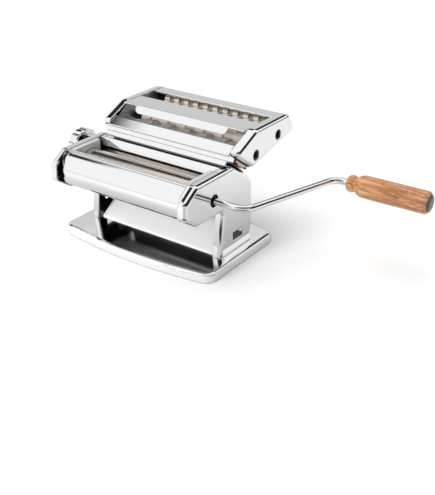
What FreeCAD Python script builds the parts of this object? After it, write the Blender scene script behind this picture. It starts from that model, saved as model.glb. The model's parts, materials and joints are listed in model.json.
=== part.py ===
import FreeCAD, Part
import math
import os
import Sketcher
from FreeCAD import Placement, Rotation, Vector

# Hand-cranked pasta roller with a two-way cutter head.
# Millimetres. Origin under the middle of the base, +X to the crank side, +Y to the back, +Z up.

doc = FreeCAD.newDocument("pasta_roller")
sheet = doc.addObject("Spreadsheet::Sheet", "Sizes")
pieces = []


class Size:
    """A size known both as a number and as an expression on the sheet."""

    def __init__(self, value, text):
        self.value = value
        self.text = text

    def __add__(self, other):
        other = size(other)
        return Size(self.value + other.value, f"({self.text} + {other.text})")

    def __sub__(self, other):
        other = size(other)
        return Size(self.value - other.value, f"({self.text} - {other.text})")

    def __mul__(self, other):
        other = size(other)
        return Size(self.value * other.value, f"({self.text} * {other.text})")

    def __truediv__(self, other):
        other = size(other)
        return Size(self.value / other.value, f"({self.text} / {other.text})")

    def __radd__(self, other):
        return size(other) + self

    def __rsub__(self, other):
        return size(other) - self

    def __rmul__(self, other):
        return size(other) * self

    def __rtruediv__(self, other):
        return size(other) / self

    def __neg__(self):
        return Size(-self.value, f"(-1 * {self.text})")

    def root(self):
        return Size(math.sqrt(self.value), f"sqrt({self.text})")

    def floor(self):
        return Size(math.floor(self.value), f"floor({self.text})")

    def sin(self):
        return Size(math.sin(math.radians(self.value)), f"sin({self.text})")

    def cos(self):
        return Size(math.cos(math.radians(self.value)), f"cos({self.text})")

    def tan(self):
        return Size(math.tan(math.radians(self.value)), f"tan({self.text})")


def size(value):
    return value if isinstance(value, Size) else Size(float(value), repr(float(value)))


def cell(name, value):
    row = len(cells) + 1
    cells.append(name)
    sheet.set(f"A{row}", name)
    sheet.set(f"B{row}", str(value))
    sheet.setAlias(f"B{row}", name)
    return Size(float(value), f"Sizes.{name}")


cells = []

# Sheet metal and clearances
sheet_wall = cell("sheet_wall", 1.2)
cover_wall = cell("cover_wall", 1.0)
plate_wall = cell("plate_wall", 1.5)
running_fit = cell("running_fit", 0.05)
slide_fit = cell("slide_fit", 0.12)
air_gap = cell("air_gap", 0.4)

# Base plate: a pressed pan with bowed front and back edges
base_ledge = cell("base_ledge", 11.9)
base_side = cell("base_side", 117.0)
base_bow = cell("base_bow", 9.7)
base_height = cell("base_height", 10.0)
base_corner = cell("base_corner", 12.0)
base_edge = cell("base_edge", 4.0)

# Side frames: drawn cheeks, a head on a leg
frame_width = cell("frame_width", 177.0)
flange_width = cell("flange_width", 9.5)
frame_edge = cell("frame_edge", 4.0)
head_top = cell("head_top", 102.5)
head_depth = cell("head_depth", 42.0)
top_front = cell("top_front", -61.0)
nose_front = cell("nose_front", -80.5)
nose_drop = cell("nose_drop", 12.5)
nose_depth = cell("nose_depth", 16.5)
chin_front = cell("chin_front", -61.0)
leg_front = cell("leg_front", -19.5)
foot_front = cell("foot_front", -26.0)
leg_back = cell("leg_back", 31.4)
shoulder_front = cell("shoulder_front", -2.0)
shoulder_slope = cell("shoulder_slope", 35.0)
shoulder_round = cell("shoulder_round", 14.0)
nose_round = cell("nose_round", 6.0)
slot_front = cell("slot_front", -3.5)
slot_length = cell("slot_length", 18.0)
slot_low = cell("slot_low", 21.5)
slot_height = cell("slot_height", 9.0)
crank_hole = cell("crank_hole", 13.0)

# Rollers and their gears
roller_diameter = cell("roller_diameter", 35.0)
roller_drop = cell("roller_drop", 24.1)
roller_front = cell("roller_front", -34.5)
nip_gap = cell("nip_gap", 0.3)
nip_travel = cell("nip_travel", 2.0)
journal_diameter = cell("journal_diameter", 12.0)
tube_bore = cell("tube_bore", 17.0)
tube_journal = cell("tube_journal", 22.0)
roller_teeth = cell("roller_teeth", 18)
gear_width = cell("gear_width", 5.0)
gear_backlash = cell("gear_backlash", 0.55)
pressure_slope = cell("pressure_slope", 20.0)
tooth_tip = cell("tooth_tip", 0.76)
tooth_root = cell("tooth_root", 1.2)
bush_wall = cell("bush_wall", 2.0)
bush_flange = cell("bush_flange", 2.0)

# Thickness regulator
regulator_shaft = cell("regulator_shaft", 8.0)
cam_diameter = cell("cam_diameter", 14.0)
cam_throw = cell("cam_throw", 0.95)
cam_start = cell("cam_start", -75.0)
block_width = cell("block_width", 29.0)
block_height = cell("block_height", 27.0)
block_half = cell("block_half", 2.2)
block_reach = cell("block_reach", 13.6)
index_diameter = cell("index_diameter", 33.0)
index_wall = cell("index_wall", 3.0)
index_circle = cell("index_circle", 26.0)
pin_diameter = cell("pin_diameter", 3.0)
settings = cell("settings", 6)
setting_turn = cell("setting_turn", 30.0)
dial_diameter = cell("dial_diameter", 34.0)
dial_length = cell("dial_length", 13.0)
knob_diameter = cell("knob_diameter", 38.0)
knob_length = cell("knob_length", 12.0)
knob_neck_length = cell("knob_neck_length", 6.0)
knob_neck = cell("knob_neck", 16.0)
knob_pull = cell("knob_pull", 3.2)
knob_grips = cell("knob_grips", 12)

# Covers
cover_radius = cell("cover_radius", 19.4)
cover_start = cell("cover_start", 6.0)
cover_end = cell("cover_end", 158.0)
cover_centre_front = cell("cover_centre_front", -55.0)
cover_drop = cell("cover_drop", 21.2)
lip_front = cell("lip_front", -62.0)
lip_back = cell("lip_back", -57.0)
lip_wall = cell("lip_wall", 1.3)
mouth_back = cell("mouth_back", -11.6)
skirt_back = cell("skirt_back", -15.0)
skirt_drop = cell("skirt_drop", 9.2)
heel_length = cell("heel_length", 34.0)
chute_front = cell("chute_front", -20.5)
chute_lip = cell("chute_lip", 1.5)
chute_inset = cell("chute_inset", 3.0)
chute_slope = cell("chute_slope", 34.0)
chute_round = cell("chute_round", 34.0)
chute_drop = cell("chute_drop", 32.5)
chute_lap = cell("chute_lap", 8.0)
guide_width = cell("guide_width", 5.5)
guide_gap = cell("guide_gap", 1.0)
rib_gap = cell("rib_gap", 0.7)
guide_drop = cell("guide_drop", 18.5)
guide_back = cell("guide_back", -20.0)
tie_diameter = cell("tie_diameter", 8.0)
tie_inset = cell("tie_inset", 7.4)
tie_drop = cell("tie_drop", 38.5)
tie_thread = cell("tie_thread", 10.0)
screw_diameter = cell("screw_diameter", 4.0)
scraper_wall = cell("scraper_wall", 0.8)
scraper_reach = cell("scraper_reach", 11.0)

# Crank and grip
rod_diameter = cell("rod_diameter", 7.0)
tip_side = cell("tip_side", 4.6)
rod_depth = cell("rod_depth", 18.0)
socket_mouth = cell("socket_mouth", 10.0)
crank_stand = cell("crank_stand", 35.5)
crank_arm = cell("crank_arm", 113.0)
crank_slant = cell("crank_slant", 34.0)
crank_round = cell("crank_round", 15.0)
grip_gap = cell("grip_gap", 15.5)
grip_length = cell("grip_length", 86.0)
grip_diameter = cell("grip_diameter", 23.0)
grip_neck = cell("grip_neck", 14.5)
bead_diameter = cell("bead_diameter", 18.8)
bead_length = cell("bead_length", 7.5)
neck_length = cell("neck_length", 3.0)
grip_shoulder = cell("grip_shoulder", 8.0)
washer_diameter = cell("washer_diameter", 16.5)
washer_wall = cell("washer_wall", 1.6)

# Cutter head
cutter_overhang = cell("cutter_overhang", 1.5)
cutter_flange = cell("cutter_flange", 10.5)
cutter_edge = cell("cutter_edge", 4.2)
cutter_top_rise = cell("cutter_top_rise", 26.0)
cutter_toe = cell("cutter_toe", -4.5)
cutter_heel = cell("cutter_heel", 33.4)
cutter_lift = cell("cutter_lift", 9.0)
cutter_brow = cell("cutter_brow", 36.0)
cutter_crown = cell("cutter_crown", 98.0)
cutter_tail = cell("cutter_tail", 112.5)
cutter_tail_rise = cell("cutter_tail_rise", 5.5)
cutter_diameter = cell("cutter_diameter", 18.6)
cutter_groove = cell("cutter_groove", 2.4)
cutter_end_gap = cell("cutter_end_gap", 12.5)
cutter_pair_back = cell("cutter_pair_back", 16.0)
cutter_pair_up = cell("cutter_pair_up", 4.0)
front_cutter_back = cell("front_cutter_back", 35.0)
cutter_rise = cell("cutter_rise", 21.632)
rear_pair_step = cell("rear_pair_step", 41.0)
rear_pair_rise = cell("rear_pair_rise", 9.5)
front_bands = cell("front_bands", 11)
rear_bands = cell("rear_bands", 20)
ring_side_gap = cell("ring_side_gap", 0.3)
cutter_journal = cell("cutter_journal", 9.5)
cutter_teeth = cell("cutter_teeth", 14)
cutter_gear_width = cell("cutter_gear_width", 4.0)
socket_hole = cell("socket_hole", 11.0)
front_plate_top = cell("front_plate_top", 13.5)
front_fold_step = cell("front_fold_step", 14.0)
front_fold_rise = cell("front_fold_rise", 11.5)
middle_front_step = cell("middle_front_step", 6.0)
middle_back_step = cell("middle_back_step", 21.5)
middle_wall_step = cell("middle_wall_step", 11.5)
middle_wall_rise = cell("middle_wall_rise", 18.5)
middle_wall_inset = cell("middle_wall_inset", 18.5)
middle_fold_step = cell("middle_fold_step", 28.0)
middle_fold_rise = cell("middle_fold_rise", 18.5)
rear_strip_step = cell("rear_strip_step", 5.0)

# Rail under the cutter head, measured along and square to the sloping shoulder
rail_foot = cell("rail_foot", 4.0)
rail_neck_start = cell("rail_neck_start", 9.0)
rail_neck_end = cell("rail_neck_end", 21.0)
rail_start = cell("rail_start", 4.0)
rail_end = cell("rail_end", 26.0)
rail_under = cell("rail_under", 5.7)
rail_wall = cell("rail_wall", 1.8)
rail_inset = cell("rail_inset", 2.5)
channel_wall = cell("channel_wall", 0.9)
channel_lip = cell("channel_lip", 3.6)

# Places that several pieces share
head_bottom = head_top - head_depth
nose_top = head_top - nose_drop
nose_low = nose_top - nose_depth
roller_height = head_top - roller_drop
cover_centre_height = head_top - cover_drop
skirt_low = head_top - skirt_drop
chute_top = head_top - chute_drop
guide_low = head_top - guide_drop
tie_height = head_top - tie_drop
tie_back = leg_back - tie_inset
outer_half = frame_width / 2
inner_half = outer_half - flange_width
wall_half = outer_half - sheet_wall
plate_half = inner_half + plate_wall
roller_radius = roller_diameter / 2
roller_half = inner_half - air_gap
gear_space = gear_width + 2 * air_gap
nip_back = roller_front + roller_diameter + nip_gap
shaft_back = nip_back + nip_travel / 2
cover_top = head_top - sheet_wall
chute_back = leg_back - sheet_wall - 2 * cover_wall
slope_sin = shoulder_slope.sin()
slope_cos = shoulder_slope.cos()
leg_corner_height = head_top - (leg_back - shoulder_front) * shoulder_slope.tan()
shoulder_height = head_top - (front_cutter_back - shoulder_front) * shoulder_slope.tan()
front_cutter_height = shoulder_height + cutter_rise / slope_cos
rear_cutter_height = front_cutter_height + rear_pair_rise
rear_cutter_back = front_cutter_back + rear_pair_step
cutter_top = front_cutter_height + cutter_top_rise
cutter_tail_height = front_cutter_height + cutter_tail_rise
front_fold_low = front_cutter_height + front_fold_rise
front_fold_back = front_cutter_back - front_fold_step
middle_wall_low = front_cutter_height + middle_wall_rise
middle_wall_back = front_cutter_back - middle_wall_step
middle_front = front_cutter_back - middle_front_step
middle_back = front_cutter_back + middle_back_step
middle_fold_low = front_cutter_height + middle_fold_rise
middle_fold_back = front_cutter_back + middle_fold_step
rear_strip_front = rear_cutter_back + rear_strip_step
cutter_half = outer_half + cutter_overhang
cutter_inner = cutter_half - cutter_flange
cutter_length = 2 * (cutter_inner - cutter_end_gap)
middle_wall_half = cutter_inner - middle_wall_inset
rail_half = outer_half - rail_inset
chute_half = inner_half - chute_inset
guide_inner = inner_half - guide_gap - guide_width
crank_reach = outer_half + crank_stand
grip_start = crank_reach + crank_slant + grip_gap
cutter_radius = cutter_diameter / 2


class Bend:
    """A segment of an outline that is an arc: its radius and the side its centre lies on."""

    def __init__(self, radius, side):
        self.radius = size(radius)
        self.side = side

    def curve(self, start, end):
        chord = end - start
        half = chord.Length / 2
        across = Vector(-chord.y, chord.x, 0).normalize() * self.side
        radius = self.radius.value
        centre = start + chord / 2 + across * math.sqrt(max(radius ** 2 - half ** 2, 0))
        crest = centre - across * radius
        return Part.Arc(start, crest, end) if self.side > 0 else Part.Arc(end, crest, start)


def bind(item, setting, value):
    item.setExpression(setting, size(value).text)


class Piece:
    """One solid of the machine: a body with its sketches and features."""

    def __init__(self, label, keep=True):
        self.body = doc.addObject("PartDesign::Body", label)
        self.body.Label = label
        if keep:
            pieces.append(self.body)

    def origin(self, role):
        return next(item for item in self.body.Origin.OriginFeatures if item.Role == role)

    def sketch(self, role, loops=(), circles=(), offset=None):
        drawing = self.body.newObject("Sketcher::SketchObject", "Sketch")
        drawing.AttachmentSupport = [(self.origin(role), "")]
        drawing.MapMode = "FlatFace"
        if offset is not None:
            drawing.AttachmentOffset = Placement(Vector(0, 0, size(offset).value), Rotation())
            bind(drawing, "AttachmentOffset.Base.z", offset)
        for loop in loops:
            self.outline(drawing, [tuple(corner) for corner in loop])
        for across, up, diameter in circles:
            self.circle(drawing, size(across), size(up), size(diameter))
        return drawing

    def tie(self, drawing, kind, *places, value):
        index = drawing.addConstraint(Sketcher.Constraint(kind, *places, size(value).value))
        bind(drawing, f"Constraints[{index}]", value)

    def circle(self, drawing, across, up, diameter):
        centre = Vector(across.value, up.value, 0)
        index = drawing.addGeometry(Part.Circle(centre, Vector(0, 0, 1), diameter.value / 2))
        self.tie(drawing, "DistanceX", -1, 1, index, 3, value=across)
        self.tie(drawing, "DistanceY", -1, 1, index, 3, value=up)
        self.tie(drawing, "Diameter", index, value=diameter)

    def outline(self, drawing, loop):
        ends = []
        for number, corner in enumerate(loop):
            after = loop[(number + 1) % len(loop)]
            start = Vector(size(corner[0]).value, size(corner[1]).value, 0)
            end = Vector(size(after[0]).value, size(after[1]).value, 0)
            if len(corner) == 3:
                curve = corner[2].curve(start, end)
            else:
                curve = Part.LineSegment(start, end)
            index = drawing.addGeometry(curve)
            forward = drawing.Geometry[index].StartPoint.distanceToPoint(start) < 1e-6
            ends.append((index, 1, 2) if forward else (index, 2, 1))
        for number, corner in enumerate(loop):
            index, first, last = ends[number]
            follower, follower_first, _ = ends[(number + 1) % len(loop)]
            drawing.addConstraint(Sketcher.Constraint("Coincident", index, last, follower, follower_first))
            self.tie(drawing, "DistanceX", -1, 1, index, first, value=corner[0])
            self.tie(drawing, "DistanceY", -1, 1, index, first, value=corner[1])
            if len(corner) == 3:
                self.tie(drawing, "Radius", index, value=corner[2].radius)

    def feature(self, kind, **settings):
        item = self.body.newObject(f"PartDesign::{kind}", kind)
        for setting, value in settings.items():
            if isinstance(value, Size):
                bind(item, setting, value)
            else:
                setattr(item, setting, value)
        doc.recompute()
        return item

    def pad(self, drawing, length, **settings):
        return self.feature("Pad", Profile=drawing, Length=size(length), **settings)

    def cut(self, drawing, **settings):
        before = self.body.Shape.Volume
        item = self.feature("Pocket", Profile=drawing, **settings)
        if self.body.Shape.Volume >= before:
            raise RuntimeError(f"{self.body.Label}: a cut removed nothing")
        return item

    def cut_through(self, drawing):
        return self.cut(drawing, Type=1, Midplane=True)

    def revolve(self, drawing, axis, kind="Revolution"):
        return self.feature(kind, Profile=drawing, ReferenceAxis=(self.origin(axis), [""]), Angle=360.0)

    def edges(self, test):
        shape = self.body.Shape
        return [f"Edge{number}" for number, edge in enumerate(shape.Edges, 1) if test(edge)]

    def fillet(self, radius, test):
        return self.feature("Fillet", Base=(self.body.Tip, self.edges(test)), Radius=size(radius))

    def hollow(self, wall, test):
        shape = self.body.Shape
        faces = [f"Face{number}" for number, face in enumerate(shape.Faces, 1) if test(face)]
        before = shape.Volume
        item = self.feature("Thickness", Base=(self.body.Tip, faces), Value=size(wall), Reversed=True)
        if self.body.Shape.Volume >= before:
            raise RuntimeError(f"{self.body.Label}: the shell is not hollow")
        return item

    def repeat_round(self, item, count, axis="X_Axis"):
        pattern = self.feature("PolarPattern", Originals=[item], Axis=(self.origin(axis), [""]),
                               Angle=360.0, Occurrences=count)
        self.body.Tip = pattern
        doc.recompute()

    def repeat_along(self, item, length, count, axis="X_Axis"):
        pattern = self.feature("LinearPattern", Originals=[item], Direction=(self.origin(axis), [""]),
                               Length=length, Occurrences=count)
        self.body.Tip = pattern
        doc.recompute()

    def place(self, across=0.0, back=0.0, up=0.0, turn=0.0):
        turned = Rotation(Vector(1, 0, 0), turn)
        spot = Vector(size(across).value, size(back).value, size(up).value)
        self.body.Placement = Placement(spot, turned)
        for axis, value in (("x", across), ("y", back), ("z", up)):
            bind(self.body, f"Placement.Base.{axis}", value)
        doc.recompute()


def near(first, second):
    return abs(first - size(second).value) < 1e-3


def along_x(edge, back, up):
    ends = [vertex.Point for vertex in edge.Vertexes]
    return len(ends) == 2 and all(near(end.y, back) and near(end.z, up) for end in ends)


def on_x(edge, across):
    return all(near(vertex.Point.x, across) for vertex in edge.Vertexes)


def facing(face, across):
    box = face.BoundBox
    return near(box.XMin, across) and near(box.XMax, across)


def span(side, inner, outer):
    """The start and length of a pad between two distances from the middle, on the given side."""
    return (size(inner) if side > 0 else -size(outer)), size(outer) - size(inner)


def on_slope(along, square):
    """A point given along and square to the sloping shoulder of the side frames."""
    back = shoulder_front + size(along) * slope_cos + size(square) * slope_sin
    up = head_top - size(along) * slope_sin + size(square) * slope_cos
    return back, up


def group(label, members):
    """Several loose solids of one kind in one node."""
    compound = doc.addObject("Part::Compound", label)
    compound.Label = label
    compound.Links = members
    pieces.append(compound)
    return compound


def round_bar(diameter, start, length, back, up):
    """A plain bar along X."""
    bar = doc.addObject("Part::Cylinder", "Bar")
    bind(bar, "Radius", size(diameter) / 2)
    bind(bar, "Height", length)
    bar.Placement = Placement(Vector(), Rotation(Vector(0, 1, 0), 90))
    for axis, value in (("x", start), ("y", back), ("z", up)):
        bind(bar, f"Placement.Base.{axis}", value)
    return bar


def joined(*bars):
    whole = doc.addObject("Part::MultiFuse", "Joined")
    whole.Shapes = list(bars)
    return whole


def less(base, tool):
    rest = doc.addObject("Part::Cut", "Rest")
    rest.Base = base
    rest.Tool = tool
    return rest


def box(low, high):
    """A block between two corners."""
    block = doc.addObject("Part::Box", "Block")
    for axis, setting, first, last in zip("xyz", ("Length", "Width", "Height"), low, high):
        bind(block, setting, size(last) - size(first))
        bind(block, f"Placement.Base.{axis}", first)
    return block


def keep(label, item):
    item.Label = label
    pieces.append(item)
    return item


# Base plate

def base_plate():
    half = outer_half + base_ledge
    side = base_side / 2
    bow_radius = (half * half + base_bow * base_bow) / (2 * base_bow)
    pan = Piece("base_plate")
    outline = [(-half, -side, Bend(bow_radius, 1)), (half, -side),
               (half, side, Bend(bow_radius, 1)), (-half, side)]
    pan.pad(pan.sketch("XY_Plane", [outline]), base_height)
    pan.fillet(base_corner, lambda edge: near(edge.BoundBox.ZLength, base_height))
    pan.fillet(base_edge, lambda edge: near(edge.BoundBox.ZMin, base_height))
    pan.hollow(sheet_wall, lambda face: near(face.BoundBox.ZMax, 0))
    holes = [(across, back, screw_diameter + 2 * running_fit) for across, back in foot_spots()]
    pan.cut_through(pan.sketch("XY_Plane", circles=holes))


def foot_spots():
    across = inner_half + flange_width / 2
    inset = sheet_wall + screw_diameter * 2
    return [(side * across, back) for side in (-1, 1)
            for back in (foot_front + inset, leg_back - inset)]


def foot_rivets():
    rivets = []
    for across, back in foot_spots():
        shank = doc.addObject("Part::Cylinder", "Shank")
        bind(shank, "Radius", screw_diameter / 2)
        bind(shank, "Height", 2 * sheet_wall)
        low = base_height - sheet_wall
        parts = [(shank, low)]
        for up in (low - screw_diameter / 2, base_height + sheet_wall):
            head = doc.addObject("Part::Cylinder", "Head")
            bind(head, "Radius", screw_diameter * 0.8)
            bind(head, "Height", screw_diameter / 2)
            parts.append((head, up))
        for part, up in parts:
            for axis, value in (("x", across), ("y", back), ("z", up)):
                bind(part, f"Placement.Base.{axis}", value)
        rivets.append(joined(*[part for part, _ in parts]))
    group("foot_rivets", rivets)


# Side frames and the plates that carry the rollers

def frame_outline():
    return [(top_front, head_top), (nose_front + 1.0, nose_top), (nose_front, nose_low),
            (chin_front, head_bottom), (leg_front, head_bottom), (foot_front, base_height),
            (leg_back, base_height), (leg_back, leg_corner_height), (shoulder_front, head_top)]


def side_frame(label, side):
    start, width = span(side, inner_half, outer_half)
    outer = side * outer_half
    cheek = Piece(label)
    corners = frame_outline()
    cheek.pad(cheek.sketch("YZ_Plane", [corners], offset=start), width)
    rounds = [nose_round, nose_round, nose_round, nose_round, nose_round / 2]
    for (back, up), radius in zip(corners, rounds):
        cheek.fillet(radius, lambda edge: along_x(edge, back, up))
    cheek.fillet(shoulder_round, lambda edge: along_x(edge, leg_back, leg_corner_height))
    cheek.fillet(nose_round, lambda edge: along_x(edge, shoulder_front, head_top))
    cheek.fillet(frame_edge, lambda edge: on_x(edge, outer) and not near(edge.BoundBox.ZMax, base_height))
    cheek.hollow(sheet_wall, lambda face: facing(face, side * inner_half))
    slot_end = slot_front + slot_length
    slot_top = slot_low + slot_height
    slot = [(slot_front, slot_low), (slot_end, slot_low), (slot_end, slot_top), (slot_front, slot_top)]
    cheek.cut_through(cheek.sketch("YZ_Plane", [slot]))
    if side > 0:
        hole = (roller_front, roller_height, crank_hole)
    else:
        hole = (shaft_back, roller_height, regulator_shaft + 2 * bush_wall)
    cheek.cut_through(cheek.sketch("YZ_Plane", circles=[hole]))
    holes = [(across, back, screw_diameter + 2 * running_fit) for across, back in foot_spots()
             if across.value * side > 0]
    foot = cheek.sketch("XY_Plane", circles=holes, offset=base_height + 2 * sheet_wall)
    cheek.cut(foot, Length=3 * sheet_wall)


def plate_outline():
    back_edge = leg_back - sheet_wall
    slope_start = shoulder_front - nose_round / 2
    slope_end = head_top - (back_edge - shoulder_front) * shoulder_slope.tan() - sheet_wall / slope_cos
    front_edge = lip_back + air_gap * 2
    low = head_bottom - flange_width
    return [(front_edge, cover_top), (slope_start, cover_top), (back_edge - shoulder_round / 2, slope_end
            + shoulder_round / 2 * shoulder_slope.tan()), (back_edge, slope_end - shoulder_round / 2),
            (back_edge, low), (leg_front + sheet_wall + 1.0, low),
            (leg_front + sheet_wall + 1.0, head_bottom + sheet_wall),
            (front_edge, head_bottom + sheet_wall)]


def bearing_plate(label, side):
    start, width = span(side, inner_half, plate_half)
    plate = Piece(label)
    plate.pad(plate.sketch("YZ_Plane", [plate_outline()], offset=start), width)
    reach = block_reach + nip_travel * slope_sin + slide_fit
    window = block_outline(slide_fit, nip_travel, reach)
    window = [(nip_back + back, roller_height + up) for back, up in window]
    bush = (roller_front, roller_height, journal_diameter + 2 * bush_wall)
    screw = (tie_back, tie_height, screw_diameter)
    plate.cut_through(plate.sketch("YZ_Plane", [window], [bush, screw]))


def block_outline(room, travel, reach):
    """The sliding block seen from the side, its upper back corner cut off along the shoulder."""
    half = block_width / 2 + room
    tall = block_height / 2 + room
    back = half + travel
    return [(-half, -tall), (back, -tall), (back, (reach - back * slope_sin) / slope_cos),
            ((reach - tall * slope_cos) / slope_sin, tall), (-half, tall)]


def roller_bushes():
    bushes = []
    for side in (-1, 1):
        start, width = span(side, inner_half, plate_half + bush_flange)
        sleeve = round_bar(journal_diameter + 2 * bush_wall, start, width, roller_front, roller_height)
        collar_start, collar_width = span(side, plate_half, plate_half + bush_flange)
        collar = round_bar(journal_diameter + 4 * bush_wall, collar_start, collar_width,
                           roller_front, roller_height)
        bore = round_bar(journal_diameter + 2 * running_fit, start, width, roller_front, roller_height)
        bushes.append(less(joined(sleeve, collar), bore))
    group("front_roller_bushes", bushes)


# Rollers and gears

def front_roller():
    roller = Piece("front_roller")
    work_end = roller_half - gear_space
    journal_end = wall_half - air_gap
    journal = journal_diameter / 2
    profile = [(-journal_end, 0), (-journal_end, journal), (-roller_half, journal), (-roller_half, roller_radius),
               (work_end, roller_radius), (work_end, journal), (journal_end, journal), (journal_end, 0)]
    roller.revolve(roller.sketch("XZ_Plane", [profile]), "X_Axis")
    roller.fillet(1.0, lambda edge: near(edge.BoundBox.ZMax, roller_radius))
    crank_socket(roller, journal_end)
    roller.place(back=roller_front, up=roller_height)


def crank_socket(roller, face):
    """A hole in the end of a roller, round at the mouth and square where the crank's tip sits."""
    mouth = rod_diameter + 2 * running_fit
    roller.cut(roller.sketch("YZ_Plane", circles=[(0, 0, mouth)], offset=face), Length=socket_mouth)
    floor = face - socket_mouth
    lead = [(floor, 0), (floor, mouth / 2), (floor - mouth / 2, 0)]
    roller.revolve(roller.sketch("XZ_Plane", [lead]), "X_Axis", "Groove")
    key = roller.sketch("YZ_Plane", [square(tip_side + 2 * running_fit)], offset=floor)
    roller.cut(key, Length=rod_depth + 1.0 - socket_mouth)


def square(side):
    half = side / 2
    return [(-half, -half), (half, -half), (half, half), (-half, half)]


def gear(label, teeth, centre, width, bore, backlash, start, turn):
    """A straight-toothed wheel about X, with a gap at the top before it is turned."""
    pitch_radius = size(centre) / 2
    module = 2 * pitch_radius / teeth
    tip = pitch_radius + tooth_tip * module
    root = pitch_radius - tooth_root * module
    lean = (pressure_slope + 90 / teeth).tan()
    half_gap = module * (math.pi / 4) + backlash / 2
    half_root = half_gap - (pitch_radius - root) * lean * 0.6
    beyond = tip + module / 4
    half_tip = half_gap + (beyond - pitch_radius) * lean
    wheel = Piece(label)
    wheel.pad(wheel.sketch("YZ_Plane", circles=[(0, 0, 2 * tip)]), width)
    gap = [(-half_root, root), (half_root, root), (half_gap, pitch_radius), (half_tip, beyond),
           (-half_tip, beyond), (-half_gap, pitch_radius)]
    tooth_gap = wheel.cut_through(wheel.sketch("YZ_Plane", [gap]))
    wheel.repeat_round(tooth_gap, teeth)
    wheel.cut_through(wheel.sketch("YZ_Plane", circles=[(0, 0, bore)]))
    return wheel


def roller_gears():
    centre = roller_diameter + nip_gap
    start = roller_half - gear_space
    front = gear("front_roller_gear", roller_teeth, centre, gear_width, journal_diameter,
                 gear_backlash, start, 0)
    front.place(across=start, back=roller_front, up=roller_height)
    rear = gear("rear_roller_gear", roller_teeth, centre, gear_width, tube_journal, gear_backlash, start, 0)
    rear.place(across=start, back=nip_back, up=roller_height, turn=180 / roller_teeth.value)


def rear_roller():
    roller = Piece("rear_roller")
    work_end = roller_half - gear_space
    bore = tube_bore / 2
    journal = tube_journal / 2
    seat = inner_half + air_gap + block_half
    profile = [(-seat, bore), (-seat, journal), (-roller_half, journal), (-roller_half, roller_radius),
               (work_end, roller_radius), (work_end, journal), (seat, journal), (seat, bore)]
    roller.revolve(roller.sketch("XZ_Plane", [profile]), "X_Axis")
    roller.fillet(1.0, lambda edge: near(edge.BoundBox.ZMax, roller_radius))
    roller.place(back=nip_back, up=roller_height)


# Thickness regulator: a cam at each end of a through shaft shifts the rear roller's blocks

def bearing_block(label, side):
    near_face = inner_half + air_gap
    far_face = near_face + 2 * block_half
    start, width = span(side, near_face, far_face)
    block = Piece(label)
    slab = block_outline(size(0), size(0), block_reach)
    block.pad(block.sketch("YZ_Plane", [slab], offset=start), width)
    block.fillet(1.5, lambda edge: near(edge.BoundBox.XLength, 2 * block_half))
    yoke_half = cam_diameter / 2 + slide_fit
    yoke_tall = cam_diameter / 2 + cam_throw + air_gap
    yoke = [(-yoke_half, -yoke_tall), (yoke_half, -yoke_tall), (yoke_half, yoke_tall),
            (-yoke_half, yoke_tall)]
    block.cut_through(block.sketch("YZ_Plane", [yoke]))
    bore = block.sketch("YZ_Plane", circles=[(0, 0, tube_journal + 2 * running_fit)],
                        offset=side * (near_face + block_half + running_fit))
    block.cut(bore, Length=block_half + 1.0, Reversed=side < 0)
    block.place(back=nip_back, up=roller_height)


def regulator():
    cam_near = inner_half + air_gap + block_half + 2 * running_fit + air_gap / 2
    cam_far = inner_half + air_gap + 2 * block_half
    end_stop = wall_half - air_gap
    hub_end = outer_half + index_wall + air_gap
    shaft = Piece("regulator_shaft")
    shaft_end = hub_end + dial_length + 2 * knob_pull
    bar = shaft.sketch("YZ_Plane", circles=[(0, 0, regulator_shaft)], offset=-shaft_end)
    shaft.pad(bar, end_stop + shaft_end)
    for side in (-1, 1):
        start, width = span(side, cam_near, cam_far)
        centre_back = cam_throw * cam_start.sin()
        centre_up = cam_throw * cam_start.cos()
        cam = shaft.sketch("YZ_Plane", circles=[(centre_back, centre_up, cam_diameter)], offset=start)
        shaft.pad(cam, width)
    shaft.place(back=shaft_back, up=roller_height)

    start, width = span(1, cam_far + air_gap / 2, wall_half)
    cup = less(round_bar(regulator_shaft + 4 * bush_wall, start, width, shaft_back, roller_height),
               round_bar(regulator_shaft + 2 * running_fit, start, width - air_gap / 2,
                         shaft_back, roller_height))
    keep("regulator_end_bush", cup)

    start, width = span(-1, cam_far + air_gap / 2, outer_half)
    sleeve = round_bar(regulator_shaft + 2 * bush_wall, start, width, shaft_back, roller_height)
    collar_start, collar_width = span(-1, cam_far + air_gap / 2, wall_half)
    collar = round_bar(regulator_shaft + 4 * bush_wall, collar_start, collar_width,
                       shaft_back, roller_height)
    bore = round_bar(regulator_shaft + 2 * running_fit, start, width, shaft_back, roller_height)
    keep("regulator_bush", less(joined(sleeve, collar), bore))

    index_plate()
    dial(hub_end)
    knob(hub_end)


def index_plate():
    disc = Piece("index_plate")
    start, width = span(-1, outer_half, outer_half + index_wall)
    disc.pad(disc.sketch("YZ_Plane", circles=[(0, 0, index_diameter)], offset=start), width)
    disc.fillet(index_wall / 2, lambda edge: on_x(edge, -(outer_half + index_wall)))
    bore = regulator_shaft + 2 * running_fit
    disc.cut_through(disc.sketch("YZ_Plane", circles=[(0, 0, bore)]))
    hole = pin_diameter + 2 * air_gap
    first = disc.cut_through(disc.sketch("YZ_Plane", circles=[(0, index_circle / 2, hole)]))
    pattern = disc.feature("PolarPattern", Originals=[first], Axis=(disc.origin("X_Axis"), [""]),
                           Angle=setting_turn * (settings - 1), Occurrences=settings, Reversed=True)
    disc.body.Tip = pattern
    disc.place(back=shaft_back, up=roller_height)


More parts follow.
